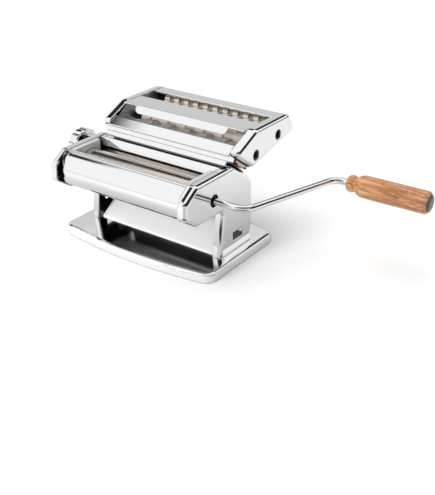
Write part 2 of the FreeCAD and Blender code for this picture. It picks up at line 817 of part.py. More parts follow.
def dial(hub_end):
    drum = Piece("regulator_dial")
    radius = dial_diameter / 2
    inner = -hub_end
    outer = -(hub_end + dial_length)
    bore = regulator_shaft / 2
    profile = [(inner, bore), (inner, radius), (outer, radius - 2.0), (outer, bore)]
    drum.revolve(drum.sketch("XZ_Plane", [profile]), "X_Axis")
    drum.fillet(1.0, lambda edge: near(edge.BoundBox.XMin, outer) and near(edge.BoundBox.ZMax, radius - 2.0))
    hole = pin_diameter + 2 * running_fit
    drum.cut_through(drum.sketch("YZ_Plane", circles=[(0, index_circle / 2, hole)]))
    drum.place(back=shaft_back, up=roller_height)


def knob(hub_end):
    button = Piece("regulator_knob")
    seat = hub_end + dial_length + knob_pull + air_gap
    disc = seat + knob_neck_length
    end = disc + knob_length
    radius = knob_diameter / 2
    neck = knob_neck / 2
    bore = regulator_shaft / 2 + running_fit
    floor = seat + 2 * knob_pull + air_gap
    outline = [(-floor, 0), (-floor, bore), (-seat, bore), (-seat, neck), (-disc, neck), (-disc, radius),
               (-end, radius), (-end, 0)]
    button.revolve(button.sketch("XZ_Plane", [outline]), "X_Axis")
    button.fillet(2.0, lambda edge: near(edge.BoundBox.ZMax, radius))
    drawing = button.sketch("YZ_Plane", circles=[(0, radius + 2.0, 7.0)])
    button.repeat_round(button.cut_through(drawing), knob_grips)
    pin_tip = outer_half + index_wall + 1.5 * air_gap
    pin = button.sketch("YZ_Plane", circles=[(0, index_circle / 2, pin_diameter)], offset=-disc)
    button.pad(pin, disc - pin_tip)
    button.place(back=shaft_back, up=roller_height)


# Covers between the side frames

def front_cover():
    shell = Piece("front_cover")

    def on_arc(radius, angle):
        return cover_centre_front - radius * angle.sin(), cover_centre_height + radius * angle.cos()

    outside = cover_radius
    inside = cover_radius - cover_wall
    profile = [(*on_arc(outside, cover_start), Bend(outside, 1)), on_arc(outside, cover_end),
               (*on_arc(inside, cover_end), Bend(inside, -1)), on_arc(inside, cover_start)]
    tuck = outer_half - sheet_wall - frame_edge
    shell.pad(shell.sketch("YZ_Plane", [profile]), 2 * tuck, Midplane=True)
    lip_top = cover_top
    lip = [(lip_front, lip_top - lip_wall), (lip_back, lip_top - lip_wall), (lip_back, lip_top),
           (lip_front, lip_top)]
    shell.pad(shell.sketch("YZ_Plane", [lip]), 2 * inner_half, Midplane=True)
    hold = lip_back - 1.8
    tab = [(hold, lip_top - lip_wall), (lip_back, lip_top - lip_wall), (lip_back, lip_top), (hold, lip_top)]
    shell.pad(shell.sketch("YZ_Plane", [tab]), 2 * tuck, Midplane=True)
    shell.fillet(0.5, lambda edge: along_x(edge, lip_front, lip_top))


def sheet_strip(label, corners, wall, length):
    """A folded sheet along X: the outer corners of its section and the wall to the left of them."""
    strip = Piece(label)
    outer = [Vector(size(back).value, size(up).value, 0) for back, up in corners]
    inner = inset(outer, size(wall).value)
    drawing = strip.sketch("YZ_Plane")
    ring = outer + inner[::-1]
    lines = [drawing.addGeometry(Part.LineSegment(start, end))
             for start, end in zip(ring, ring[1:] + ring[:1])]
    for number, line in enumerate(lines):
        follower = lines[(number + 1) % len(lines)]
        drawing.addConstraint(Sketcher.Constraint("Coincident", line, 2, follower, 1))
    for number, (back, up) in enumerate(corners):
        strip.tie(drawing, "DistanceX", -1, 1, lines[number], 1, value=back)
        strip.tie(drawing, "DistanceY", -1, 1, lines[number], 1, value=up)
    folds = len(corners) - 1
    for number in range(folds):
        mate = lines[2 * folds - number]
        drawing.addConstraint(Sketcher.Constraint("Parallel", lines[number], mate))
        strip.tie(drawing, "Distance", mate, 1, lines[number], value=wall)
    for end, side in ((lines[folds], lines[folds - 1]), (lines[-1], lines[0])):
        drawing.addConstraint(Sketcher.Constraint("Perpendicular", end, side))
    strip.pad(drawing, length, Midplane=True)
    return strip


def inset(outer, wall):
    """The same open line moved sideways by the wall, with mitred corners."""
    ways = [(end - start).normalize() for start, end in zip(outer, outer[1:])]
    lefts = [Vector(-way.y, way.x, 0) for way in ways]
    moved = [outer[0] + lefts[0] * wall]
    for corner, first, second in zip(outer[1:-1], lefts, lefts[1:]):
        moved.append(corner + (first + second) * (wall / (1 + first.dot(second))))
    moved.append(outer[-1] + lefts[-1] * wall)
    return moved


def bend_edges(corners, numbers):
    spots = [corners[number] for number in numbers]
    return lambda edge: any(along_x(edge, back, up) for back, up in spots)


def rear_cover():
    step_back, step_up = on_slope(0.0, rail_foot)
    heel_back, heel_up = on_slope(heel_length, rail_foot)
    back = leg_back - sheet_wall
    corners = [(back, chute_top - chute_lap), (back, heel_up - 8.0), (heel_back, heel_up), (step_back, step_up),
               (shoulder_front - 2.0, head_top - 0.5), (mouth_back, head_top - 0.5),
               (skirt_back, skirt_low)]
    strip = sheet_strip("rear_cover", corners, cover_wall, 2 * inner_half)
    strip.fillet(2.5, bend_edges(corners, (1, 2)))
    strip.fillet(0.8, bend_edges(corners, (3, 5)))


def chute_panel():
    slope = chute_slope.tan()
    chute_low = base_height + chute_lip
    turn = chute_round * ((90 - chute_slope) / 2).tan()
    corner_up = chute_low + (chute_back - chute_front) * slope
    lower = (chute_back - turn * chute_slope.cos(), corner_up - turn * chute_slope.sin())
    upper = (chute_back, corner_up + turn)
    wall = cover_wall
    inner = chute_round - wall
    shift = (wall * chute_slope.sin(), -wall * chute_slope.cos())
    low_out = (lower[0] + shift[0], lower[1] + shift[1])
    top = chute_top
    panel = Piece("chute_panel")
    nose = (chute_front + shift[0], chute_low + shift[1])
    profile = [(chute_front, chute_low), (nose[0], nose[1]),
               (low_out[0], low_out[1], Bend(chute_round + wall, 1)), (chute_back + wall, upper[1]),
               (chute_back + wall, top), (chute_back, top), (upper[0], upper[1], Bend(chute_round, -1)),
               (lower[0], lower[1])]
    panel.pad(panel.sketch("YZ_Plane", [profile]), 2 * chute_half, Midplane=True)
    lip = [(chute_front, chute_low), (chute_front + 1.6 * wall, chute_low), (chute_front + 1.6 * wall,
           base_height), (chute_front, base_height)]
    panel.pad(panel.sketch("YZ_Plane", [lip]), 2 * chute_half, Midplane=True)
    panel.fillet(0.8, lambda edge: along_x(edge, chute_front, chute_low))


def dough_guide(label, side):
    start, width = span(side, guide_inner, guide_inner + guide_width)
    top = head_top - 0.5
    front = lip_back + air_gap
    guide = Piece(label)
    block = [(front, guide_low), (guide_back, guide_low), (guide_back, top), (front, top)]
    guide.pad(guide.sketch("YZ_Plane", [block], offset=start), width)
    tab_start, tab_width = span(side, guide_inner + guide_width - 1.0, inner_half)
    tab_top = top - 2.5
    tab = [(front, guide_low + 8), (guide_back, guide_low + 8), (guide_back, tab_top), (front, tab_top)]
    guide.pad(guide.sketch("YZ_Plane", [tab], offset=tab_start), tab_width)
    hollow = roller_diameter + 2 * air_gap
    guide.cut_through(guide.sketch("YZ_Plane", circles=[(roller_front, roller_height, hollow)]))
    if side > 0:
        module = (roller_diameter + nip_gap) / roller_teeth
        relief = roller_diameter + nip_gap + 2 * tooth_tip * module + 2 * air_gap
        edge = roller_half - gear_space - air_gap
        drawing = guide.sketch("YZ_Plane", circles=[(roller_front, roller_height, relief)], offset=edge)
        guide.cut(drawing, Length=inner_half, Reversed=True)
    guide.fillet(0.8, lambda edge: near(edge.BoundBox.ZMin, top) and near(edge.BoundBox.YLength, 0) is False)
    ribs = []
    for share in (1, 2):
        middle = side * (guide_inner + guide_width * share / 3)
        ribs.append([(middle - rib_gap / 2, top - rib_gap), (middle + rib_gap / 2, top - rib_gap),
                     (middle + rib_gap / 2, top + rib_gap), (middle - rib_gap / 2, top + rib_gap)])
    guide.cut_through(guide.sketch("XZ_Plane", ribs))


def tie_rod():
    depth = tie_thread
    bar = round_bar(tie_diameter, -inner_half, 2 * inner_half, tie_back, tie_height)
    threads = []
    screws = []
    for side in (-1, 1):
        start, length = span(side, inner_half - depth, inner_half)
        threads.append(round_bar(screw_diameter, start, length, tie_back, tie_height))
        start, length = span(side, inner_half - depth + 1.0, plate_half)
        shank = round_bar(screw_diameter, start, length, tie_back, tie_height)
        start, length = span(side, plate_half, plate_half + screw_diameter / 2)
        screws.append(joined(shank, round_bar(2 * screw_diameter, start, length, tie_back, tie_height)))
    keep("rear_tie_rod", less(bar, joined(*threads)))
    group("tie_rod_screws", screws)


def scrapers():
    gear_room = roller_diameter + 2 * (nip_gap + 2 * air_gap) + 4 * tooth_tip * roller_diameter / roller_teeth
    gear_start = roller_half - gear_space - air_gap
    reach = roller_radius + air_gap
    tip_back = roller_front - reach / 2
    tip_up = roller_height - reach * Size(0.866, "0.866")
    blade = box((-inner_half, tip_back - scraper_reach, tip_up - scraper_wall), (inner_half, tip_back, tip_up))
    keep("front_scraper", scraped(blade, roller_front, gear_start, gear_room))
    edge = shaft_back - scraper_wall / 2
    top = roller_height - reach
    blade = box((-inner_half, edge, top - scraper_reach), (inner_half, edge + scraper_wall, top))
    keep("rear_scraper", scraped(blade, shaft_back, gear_start, gear_room))


def scraped(blade, back, gear_start, gear_room):
    """A blade cleared round its roller and the gear at the right end."""
    roll = round_bar(roller_diameter + 2 * air_gap, -inner_half, 2 * inner_half, back, roller_height)
    wheel = round_bar(gear_room, gear_start, inner_half - gear_start, back, roller_height)
    return less(blade, joined(roll, wheel))


# Crank

def crank():
    rod = Piece("crank_rod")
    tip = wall_half - air_gap - rod_depth
    start = wall_half - socket_mouth
    first = crank_reach
    second = crank_reach + crank_slant
    arm = (crank_arm * crank_arm + crank_slant * crank_slant).root()
    along = crank_slant / arm
    across = crank_arm / arm
    turn = crank_round * ((1 - along) / (1 + along)).root()
    end = grip_start + grip_length
    path = rod.body.newObject("Sketcher::SketchObject", "Path")
    path.AttachmentSupport = [(rod.origin("XY_Plane"), "")]
    path.MapMode = "FlatFace"
    spots = [(start, size(0)), (first - turn, size(0)),
             (first + turn * along, turn * across),
             (second - turn * along, crank_arm - turn * across),
             (second + turn, crank_arm), (end, crank_arm)]
    points = [Vector(back.value, up.value, 0) for back, up in spots]
    curves = [Part.LineSegment(points[0], points[1]), Bend(crank_round, 1).curve(points[1], points[2]),
              Part.LineSegment(points[2], points[3]), Bend(crank_round, -1).curve(points[3], points[4]),
              Part.LineSegment(points[4], points[5])]
    for number, curve in enumerate(curves):
        index = path.addGeometry(curve)
        forward = path.Geometry[index].StartPoint.distanceToPoint(points[number]) < 1e-6
        for place, spot in ((1 if forward else 2, spots[number]), (2 if forward else 1, spots[number + 1])):
            rod.tie(path, "DistanceX", -1, 1, index, place, value=spot[0])
            rod.tie(path, "DistanceY", -1, 1, index, place, value=spot[1])
    section = rod.sketch("YZ_Plane", circles=[(0, 0, rod_diameter)], offset=start)
    rod.feature("AdditivePipe", Profile=section, Spine=(path, []))
    rod.pad(rod.sketch("YZ_Plane", [square(tip_side)], offset=tip), start - tip)
    rod.place(back=roller_front, up=roller_height)

    grip_back = roller_front + crank_arm
    washer = Piece("grip_washer")
    half = washer_diameter / 2
    dome = [(end, 0), (end, half), (end + washer_wall * 0.4, half), (end + washer_wall, half - 3.0),
            (end + washer_wall, 0)]
    washer.revolve(washer.sketch("XZ_Plane", [dome]), "X_Axis")
    washer.place(back=grip_back, up=roller_height)

    wood = Piece("crank_grip")
    bore = rod_diameter / 2 + running_fit
    neck = grip_neck / 2
    bead = bead_diameter / 2
    body = grip_diameter / 2
    bead_end = grip_start + bead_length
    neck_end = bead_end + neck_length
    shoulder = neck_end + grip_shoulder
    face = end - air_gap
    profile = [(grip_start, bore), (grip_start, bead - 2.0, Bend(bead_length * 0.75, -1)),
               (bead_end, bead - 2.0), (bead_end, neck), (neck_end, neck),
               (neck_end, body - 2.5, Bend(grip_shoulder * 2.2, -1)), (shoulder, body),
               (face - 4.0, body, Bend(size(5.0), -1)), (face, body - 2.4), (face, bore)]
    wood.revolve(wood.sketch("XZ_Plane", [profile]), "X_Axis")
    wood.place(back=grip_back, up=roller_height)


# Cutter head

def cutter_outline():
    toe = on_slope(cutter_toe, cutter_lift)
    heel = on_slope(cutter_heel, cutter_lift)
    return [toe, (cutter_brow, cutter_top), (cutter_crown, cutter_top), (cutter_tail, cutter_tail_height),
            heel]


def cutter_axes():
    front = (front_cutter_back, front_cutter_height)
    rear = (rear_cutter_back, rear_cutter_height)
    mates = [(back + cutter_pair_back, up + cutter_pair_up) for back, up in (front, rear)]
    return front, mates[0], rear, mates[1]


def cutter_cap(label, side):
    start, width = span(side, cutter_inner, cutter_half)
    outer = side * cutter_half
    cap = Piece(label)
    corners = cutter_outline()
    cap.pad(cap.sketch("YZ_Plane", [corners], offset=start), width)
    for (back, up), radius in zip(corners, (5.0, 12.0, 9.0, 5.0, 6.0)):
        cap.fillet(radius, lambda edge: along_x(edge, back, up))
    cap.fillet(cutter_edge, lambda edge: on_x(edge, outer))
    cap.hollow(sheet_wall, lambda face: facing(face, side * cutter_inner))
    if side > 0:
        front, _, rear, _ = cutter_axes()
        cap.cut_through(cap.sketch("YZ_Plane", circles=[(*front, socket_hole), (*rear, socket_hole)]))


def cutter_plate(label, side):
    start, width = span(side, cutter_inner + 0.5, cutter_inner + 0.5 + plate_wall)
    plate = Piece(label)
    wall = sheet_wall + 0.02
    toe = on_slope(cutter_toe + 9.5, cutter_lift + wall)
    heel = on_slope(cutter_heel - 3.0, cutter_lift + wall)
    top = cutter_top - wall
    brow = (cutter_brow + 2.0, top)
    outline = [toe, brow, (cutter_crown - 8.0, top), (cutter_tail - 8.0, cutter_tail_height + 3.5), heel]
    holes = [(*axis, cutter_journal + 2 * running_fit) for axis in cutter_axes()]
    plate.pad(plate.sketch("YZ_Plane", [outline], offset=start), width)
    plate.cut_through(plate.sketch("YZ_Plane", circles=holes))


def clear_wall_ends(strip, top):
    """The front wall of the middle plate stops short of the caps, its lower corners rounded."""
    inner = middle_wall_half
    low = middle_wall_low
    outer = cutter_inner + 1.0
    roof = top - cover_wall
    corner = (roof - low) * 0.8
    for side in (1, -1):
        ends = [(inner * side, roof), (inner * side, low + corner, Bend(corner, -side)),
                ((inner - corner) * side, low), ((inner - corner) * side, low - 2.0),
                (outer * side, low - 2.0), (outer * side, roof)]
        drawing = strip.sketch("XZ_Plane", [ends], offset=-(middle_wall_back - 2.0))
        strip.cut(drawing, Length=middle_front - middle_wall_back + 4.0)


def cutter_covers():
    length = 2 * cutter_inner
    toe_back, toe_up = on_slope(cutter_toe + 2.0, cutter_lift)
    brow_rise = (cutter_top - toe_up) / (cutter_brow - toe_back)
    lip_up = toe_up + (front_plate_top - toe_back) * brow_rise
    front = [(front_fold_back, front_fold_low), (front_plate_top, lip_up), (toe_back, toe_up)]
    strip = sheet_strip("cutter_front_plate", front, cover_wall, length)
    strip.fillet(1.0, bend_edges(front, (1,)))

    top = cutter_top - 0.5
    middle = [(middle_fold_back, middle_fold_low), (middle_back, top), (middle_front, top),
              (middle_wall_back, middle_wall_low)]
    strip = sheet_strip("cutter_middle_plate", middle, cover_wall, length)
    strip.fillet(1.0, bend_edges(middle, (1, 2)))
    clear_wall_ends(strip, top)

    rear = [(cutter_tail - 1.0, cutter_tail_height + 1.0), (cutter_crown - 1.0, top), (rear_strip_front, top),
            (rear_strip_front, top - 2.5)]
    strip = sheet_strip("cutter_rear_cover", rear, cover_wall, length)
    strip.fillet(5.0, bend_edges(rear, (1,)))
    strip.fillet(0.8, bend_edges(rear, (2,)))


def cutter_roller(label, axis, bands, first, driven):
    """A ringed cutter: rings and grooves of one width, one roller starting half a pitch later."""
    half = cutter_length / 2
    pitch = 2 * cutter_length / bands
    grooves = ((bands + 1 - first) / 2).floor()
    stop = cutter_half - sheet_wall - air_gap
    tip = cutter_half - sheet_wall / 2 if driven else stop
    shaft = cutter_journal / 2
    roller = Piece(label)
    profile = [(-stop, 0), (-stop, shaft), (-half, shaft), (-half, cutter_radius),
               (half, cutter_radius), (half, shaft), (tip, shaft), (tip, 0)]
    roller.revolve(roller.sketch("XZ_Plane", [profile]), "X_Axis")
    start = -half + pitch / 2 * first - ring_side_gap / 2
    stop_groove = start + pitch / 2 + ring_side_gap
    floor = cutter_radius - cutter_groove
    ring = [(start, floor), (stop_groove, floor), (stop_groove, cutter_radius + 1.0),
            (start, cutter_radius + 1.0)]
    before = roller.body.Shape.Volume
    groove = roller.revolve(roller.sketch("XZ_Plane", [ring]), "X_Axis", "Groove")
    if roller.body.Shape.Volume >= before:
        raise RuntimeError(f"{label}: a groove removed nothing")
    roller.repeat_along(groove, pitch * (grooves - 1), grooves)
    if driven:
        crank_socket(roller, tip)
    roller.place(back=axis[0], up=axis[1])


def cutters():
    front, front_mate, rear, rear_mate = cutter_axes()
    cutter_roller("front_cutter_drive_roller", front, front_bands, 0, True)
    cutter_roller("front_cutter_driven_roller", front_mate, front_bands, 1, False)
    cutter_roller("rear_cutter_drive_roller", rear, rear_bands, 0, True)
    cutter_roller("rear_cutter_driven_roller", rear_mate, rear_bands, 1, False)
    centre = (cutter_pair_back * cutter_pair_back + cutter_pair_up * cutter_pair_up).root()
    lean = math.degrees(math.atan2(cutter_pair_up.value, cutter_pair_back.value))
    half_pitch = 180 / cutter_teeth.value
    start = -(cutter_inner + 0.5 + plate_wall + air_gap + cutter_gear_width)
    wheels = (("front_cutter_drive_gear", front, lean - 90 - half_pitch),
              ("front_cutter_driven_gear", front_mate, lean + 90),
              ("rear_cutter_drive_gear", rear, lean - 90 - half_pitch),
              ("rear_cutter_driven_gear", rear_mate, lean + 90))
    for label, axis, turn in wheels:
        wheel = gear(label, cutter_teeth, centre, cutter_gear_width, cutter_journal,
                     gear_backlash * 0.8, start, turn)
        wheel.place(across=start, back=axis[0], up=axis[1], turn=turn)


def rail_and_channel():
    rail = Piece("attachment_rail")
    top = rail_under + rail_wall
    profile = [(rail_neck_start, rail_foot), (rail_neck_end, rail_foot), (rail_neck_end, rail_under),
               (rail_end, rail_under), (rail_end, top), (rail_start, top), (rail_start, rail_under),
               (rail_neck_start, rail_under)]
    rail.pad(rail.sketch("YZ_Plane", [profile]), 2 * rail_half, Midplane=True)
    rail.place(back=shoulder_front, up=head_top, turn=-shoulder_slope.value)

    channel = Piece("cutter_mount_channel")
    floor = cutter_lift - channel_wall
    gap = air_gap
    left = rail_start - gap
    right = rail_end + gap
    low = rail_under - gap - channel_wall
    lip_top = rail_under - gap
    toe = cutter_toe + 4.0
    profile = [(toe, floor), (left - channel_wall, floor), (left - channel_wall, low),
               (left + channel_lip, low), (left + channel_lip, lip_top), (left, lip_top), (left, floor),
               (right, floor), (right, lip_top), (right - channel_lip, lip_top), (right - channel_lip, low),
               (right + channel_wall, low), (right + channel_wall, floor), (cutter_heel - 2.0, floor),
               (cutter_heel - 2.0, cutter_lift), (toe, cutter_lift)]
    channel.pad(channel.sketch("YZ_Plane", [profile]), 2 * rail_half, Midplane=True)
    channel.place(back=shoulder_front, up=head_top, turn=-shoulder_slope.value)


def build():
    base_plate()
    foot_rivets()
    for name, side in (("left", -1), ("right", 1)):
        side_frame(f"{name}_side_frame", side)
        bearing_plate(f"{name}_bearing_plate", side)
        bearing_block(f"{name}_bearing_block", side)
        dough_guide(f"{name}_dough_guide", side)
        cutter_cap(f"cutter_{name}_cap", side)
        cutter_plate(f"cutter_{name}_plate", side)
    roller_bushes()
    front_roller()
    rear_roller()
    roller_gears()
    regulator()
    front_cover()
    rear_cover()
    chute_panel()
    tie_rod()
    scrapers()
    crank()
    cutter_covers()
    cutters()
    rail_and_channel()


def check():
    doc.recompute()
    faults = [item.Label for item in doc.Objects if {"Invalid", "Error"} & set(item.State)]
    for piece in pieces:
        shape = piece.Shape
        if shape.isNull() or not shape.isValid() or not shape.Solids:
            faults.append(piece.Label)
    if faults:
        raise RuntimeError(f"not sound: {faults}")


def write():
    os.makedirs("parts", exist_ok=True)
    for piece in pieces:
        piece.Shape.exportStep(f"parts/{piece.Label}.step")
    print(f"{len(pieces)} pieces written")


build()
check()
write()
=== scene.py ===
import json
import math

import bpy
from mathutils import Matrix, Vector

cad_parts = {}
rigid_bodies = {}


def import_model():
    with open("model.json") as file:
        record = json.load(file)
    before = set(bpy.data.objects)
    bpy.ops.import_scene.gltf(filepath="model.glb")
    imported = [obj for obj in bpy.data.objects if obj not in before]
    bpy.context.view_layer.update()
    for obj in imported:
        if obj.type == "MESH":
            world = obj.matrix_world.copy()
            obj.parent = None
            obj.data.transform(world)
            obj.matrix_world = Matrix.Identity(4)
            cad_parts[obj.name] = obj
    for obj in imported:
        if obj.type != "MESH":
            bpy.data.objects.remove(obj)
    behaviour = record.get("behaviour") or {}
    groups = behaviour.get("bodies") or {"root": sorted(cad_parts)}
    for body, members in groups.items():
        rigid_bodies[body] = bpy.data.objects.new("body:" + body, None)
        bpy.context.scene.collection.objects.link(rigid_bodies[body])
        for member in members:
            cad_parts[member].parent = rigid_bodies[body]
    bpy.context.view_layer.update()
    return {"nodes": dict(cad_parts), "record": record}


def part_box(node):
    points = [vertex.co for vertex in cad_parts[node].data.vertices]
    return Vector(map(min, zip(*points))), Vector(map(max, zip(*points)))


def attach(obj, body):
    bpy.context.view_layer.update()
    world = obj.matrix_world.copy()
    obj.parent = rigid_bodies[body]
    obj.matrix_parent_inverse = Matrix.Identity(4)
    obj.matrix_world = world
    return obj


# A chromed pasta roller on a pale studio floor. Metres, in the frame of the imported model.

for leftover in list(bpy.data.objects):
    bpy.data.objects.remove(leftover)

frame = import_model()
scene = bpy.context.scene
nodes = frame["nodes"]
record = frame["record"]
body_of = {node: body for body, members in record["behaviour"]["bodies"].items() for node in members}
slot_of = {entry["node"]: entry["material_slot"] for entry in record["subparts"]}


class Value:
    """A number that varies over a surface: sums on it add Math nodes."""

    def __init__(self, finish, socket):
        self.finish = finish
        self.socket = socket

    def math(self, operation, *others):
        terms = dict(enumerate((self, *others)))
        return self.finish.value(self.finish.node("ShaderNodeMath", {"operation": operation}, terms))

    def swapped(self, operation, other):
        terms = {0: other, 1: self}
        return self.finish.value(self.finish.node("ShaderNodeMath", {"operation": operation}, terms))

    def __add__(self, other):
        return self.math("ADD", other)

    def __radd__(self, other):
        return self.math("ADD", other)

    def __sub__(self, other):
        return self.math("SUBTRACT", other)

    def __rsub__(self, other):
        return self.swapped("SUBTRACT", other)

    def __mul__(self, other):
        return self.math("MULTIPLY", other)

    def __rmul__(self, other):
        return self.math("MULTIPLY", other)

    def __truediv__(self, other):
        return self.math("DIVIDE", other)

    def __rtruediv__(self, other):
        return self.swapped("DIVIDE", other)

    def between(self, low, high):
        """0 below low, 1 above high, smooth between."""
        node = self.finish.node("ShaderNodeMapRange", {"interpolation_type": "SMOOTHSTEP"}, {
            "Value": self, "From Min": low, "From Max": high})
        return self.finish.value(node, "Result")


class Finish:
    """A material or a world, with one method that makes its nodes."""

    def __init__(self, name, block=None):
        self.block = block or bpy.data.materials.new(name)
        self.block.use_nodes = True
        self.tree = self.block.node_tree
        self.tree.nodes.clear()

    def node(self, kind, settings=None, sockets=None):
        made = self.tree.nodes.new(kind)
        for setting, value in (settings or {}).items():
            setattr(made, setting, value)
        for socket, value in (sockets or {}).items():
            if isinstance(value, Value):
                value = value.socket
            if isinstance(value, bpy.types.NodeSocket):
                self.tree.links.new(value, made.inputs[socket])
            else:
                made.inputs[socket].default_value = value
        return made

    def value(self, node, output=0):
        return Value(self, node.outputs[output])

    def place(self, scale=(1, 1, 1), shift=(0, 0, 0)):
        """Object coordinates, stretched and shifted."""
        coordinates = self.node("ShaderNodeTexCoord")
        mapping = self.node("ShaderNodeMapping", None, {
            "Vector": coordinates.outputs["Object"], "Scale": scale, "Location": shift})
        return mapping.outputs["Vector"]

    def noise(self, scale, stretch=(1, 1, 1), detail=3.0, roughness=0.55, shift=(0, 0, 0),
              distortion=0.0):
        node = self.node("ShaderNodeTexNoise", None, {
            "Vector": self.place(stretch, shift), "Scale": scale, "Detail": detail,
            "Roughness": roughness, "Distortion": distortion})
        return self.value(node, "Fac")

    def axis(self, name):
        split = self.node("ShaderNodeSeparateXYZ", None, {"Vector": self.place()})
        return self.value(split, name)

    def mix(self, factor, first, second):
        """A colour between two colours. A Mix node takes colours at 6 and 7 and gives one at 2."""
        node = self.node("ShaderNodeMix", {"data_type": "RGBA"}, {
            0: factor, 6: self.colour(first), 7: self.colour(second)})
        return node.outputs[2]

    def colour(self, value):
        return (*value, 1.0) if isinstance(value, tuple) and len(value) == 3 else value

    def bump(self, height, strength, depth, edge=0.0):
        """A relief, on edges that are rounded off by the given radius."""
        sockets = {"Height": height, "Strength": strength, "Distance": depth}
        if edge:
            rounded = self.node("ShaderNodeBevel", {"samples": 8}, {"Radius": edge})
            sockets["Normal"] = rounded.outputs["Normal"]
        return self.node("ShaderNodeBump", None, sockets).outputs["Normal"]

    def crevice(self, reach, low, high):
        """1 in deep gaps and hollows, 0 on open faces: the mask where shade is painted."""
        node = self.node("ShaderNodeAmbientOcclusion", {"samples": 8}, {"Distance": reach})
        return 1 - self.value(node, "AO").between(low, high)

    def surface(self, **sockets):
        labelled = {name.replace("_", " ").title(): self.colour(value)
                    for name, value in sockets.items()}
        shader = self.node("ShaderNodeBsdfPrincipled", None, labelled)
        self.node("ShaderNodeOutputMaterial", None, {"Surface": shader.outputs[0]})
        return self.block


# Where a finish changes, as the two ends of a soft edge

LEG_FRONT_WALL = -0.0145, -0.0130
LEG_BACK_WALL = 0.0303, 0.0309
LEG_OUTER_WALL = 0.0876, 0.0882
LEG_HOLLOW_TOP = 0.050, 0.056
BASE_SHADE_SIDE = 0.0760, 0.0785
BASE_SHADE_FRONT = -0.016, -0.012
BASE_SHADE_BACK = 0.036, 0.042
BASE_TOP = 0.0088, 0.0098
CHUTE_BEND = 0.031, 0.037
ROLLER_END = 0.0790, 0.0800
CUTTER_RING = 0.0072, 0.0090
CUTTER_END = 0.0700, 0.0710
RAIL_END = 0.0838, 0.0848

SHEET_EDGE = 0.0018
BASE_EDGE = 0.0030
WAVE_DEPTH = 0.0006
SMEAR_DEPTH = 0.0003
GRAIN_DEPTH = 0.0002
LINE_DEPTH = 0.0001


# Finishes

CHROME = (0.90, 0.905, 0.915)


def bright_chrome(name, hollow=False):
    """Mirror chrome on pressed sheet, faintly wavy, with wiped smears. Painted shade: near black in
    deep gaps and hollows, and on the walls within the hollow legs.
    """
    finish = Finish(name)
    waves = finish.noise(38, detail=1.0)
    smears = finish.noise(26, (1, 2.2, 1.4), 5.0, 0.62, (0.3, 0.1, 0.7)).between(0.50, 0.78)
    lines = finish.noise(900, (0.04, 1, 1), 2.0)
    tint = finish.mix(smears, CHROME, (0.87, 0.875, 0.88))
    # Painted shade: near black in deep gaps and hollows, found by ambient occlusion.
    tint = finish.mix(finish.crevice(0.02, 0.26, 0.60), tint, (0.02, 0.02, 0.02))
    # Painted shade: the inner walls of the hollow legs are painted near black.
    if hollow:
        depth = finish.axis("Y")
        inside = depth.between(*LEG_FRONT_WALL) * (1 - depth.between(*LEG_BACK_WALL))
        inside = inside * (1 - finish.axis("X").math("ABSOLUTE").between(*LEG_OUTER_WALL))
        inside = inside * (1 - finish.axis("Z").between(*LEG_HOLLOW_TOP))
        tint = finish.mix(inside, tint, (0.015, 0.015, 0.015))
    return finish.surface(base_color=tint, metallic=1.0, roughness=0.03 + smears * 0.05 + lines * 0.02,
                          normal=finish.bump(waves, 0.06, WAVE_DEPTH, SHEET_EDGE))


def base_chrome():
    """The base: softer chrome with wiped smears, worn pale on the rim, and painted near black under the
    chute as painted shade.
    """
    finish = Finish("base_chrome")
    smears = finish.noise(22, (1, 1.6, 1), 5.0, 0.62, (0.2, 0.5, 0.1)).between(0.48, 0.78)
    inside = 1 - finish.axis("X").math("ABSOLUTE").between(*BASE_SHADE_SIDE)
    depth = finish.axis("Y")
    under = inside * depth.between(*BASE_SHADE_FRONT) * (1 - depth.between(*BASE_SHADE_BACK))
    top = finish.axis("Z").between(*BASE_TOP)
    tint = finish.mix(smears, CHROME, (0.86, 0.865, 0.87))
    # Painted shade: the top of the base between the legs, under the chute, is painted near black.
    tint = finish.mix(under * top, tint, (0.03, 0.029, 0.028))
    return finish.surface(base_color=tint, metallic=0.55 + top * 0.45, roughness=0.085 + smears * 0.05,
                          normal=finish.bump(smears, 0.03, SMEAR_DEPTH, BASE_EDGE))


def satin_steel():
    """The chute: pale satin steel on the slope, painted near black as painted shade where it turns up
    behind the rollers.
    """
    finish = Finish("satin_steel")
    lines = finish.noise(1200, (1, 0.05, 0.05), 2.0)
    cloud = finish.noise(30, detail=3.0)
    tint = finish.mix(cloud, (0.94, 0.94, 0.94), (0.98, 0.98, 0.98))
    # Painted shade: the chute is painted near black above its bend.
    painted_shade_behind_rollers = finish.axis("Z").between(*CHUTE_BEND)
    tint = finish.mix(painted_shade_behind_rollers, tint, (0.035, 0.033, 0.03))
    return finish.surface(base_color=tint, metallic=0.10, roughness=0.42 + lines * 0.06,
                          normal=finish.bump(lines, 0.05, LINE_DEPTH))


def turned_nickel():
    """Sheeting rollers: satin nickel with lathe lines round them and dull bands from use, painted near
    black as painted shade at their ends and in deep gaps and hollows.
    """
    finish = Finish("turned_nickel")
    lathe = finish.noise(2600, (1, 0.02, 0.02), 2.0)
    bands = finish.noise(42, (1, 0.05, 0.05), 3.0)
    stains = finish.noise(55, (0.35, 1, 1), 5.0, 0.6, (2.0, 0.4, 0.1)).between(0.48, 0.75)
    tint = finish.mix(bands, (0.74, 0.645, 0.57), (0.85, 0.765, 0.69))
    tint = finish.mix(stains * 0.35, tint, (0.64, 0.54, 0.47))
    # Painted shade: near black at the roller ends and where ambient occlusion finds deep gaps and
    # hollows.
    painted_end_and_crevice_shade = finish.crevice(0.06, 0.28, 0.52).math("MAXIMUM", finish.axis("X").between(*ROLLER_END))
    tint = finish.mix(painted_end_and_crevice_shade, tint, (0.03, 0.026, 0.022))
    return finish.surface(base_color=tint, metallic=1.0, roughness=0.13 + lathe * 0.05 + stains * 0.05,
                          normal=finish.bump(lathe, 0.06, LINE_DEPTH))


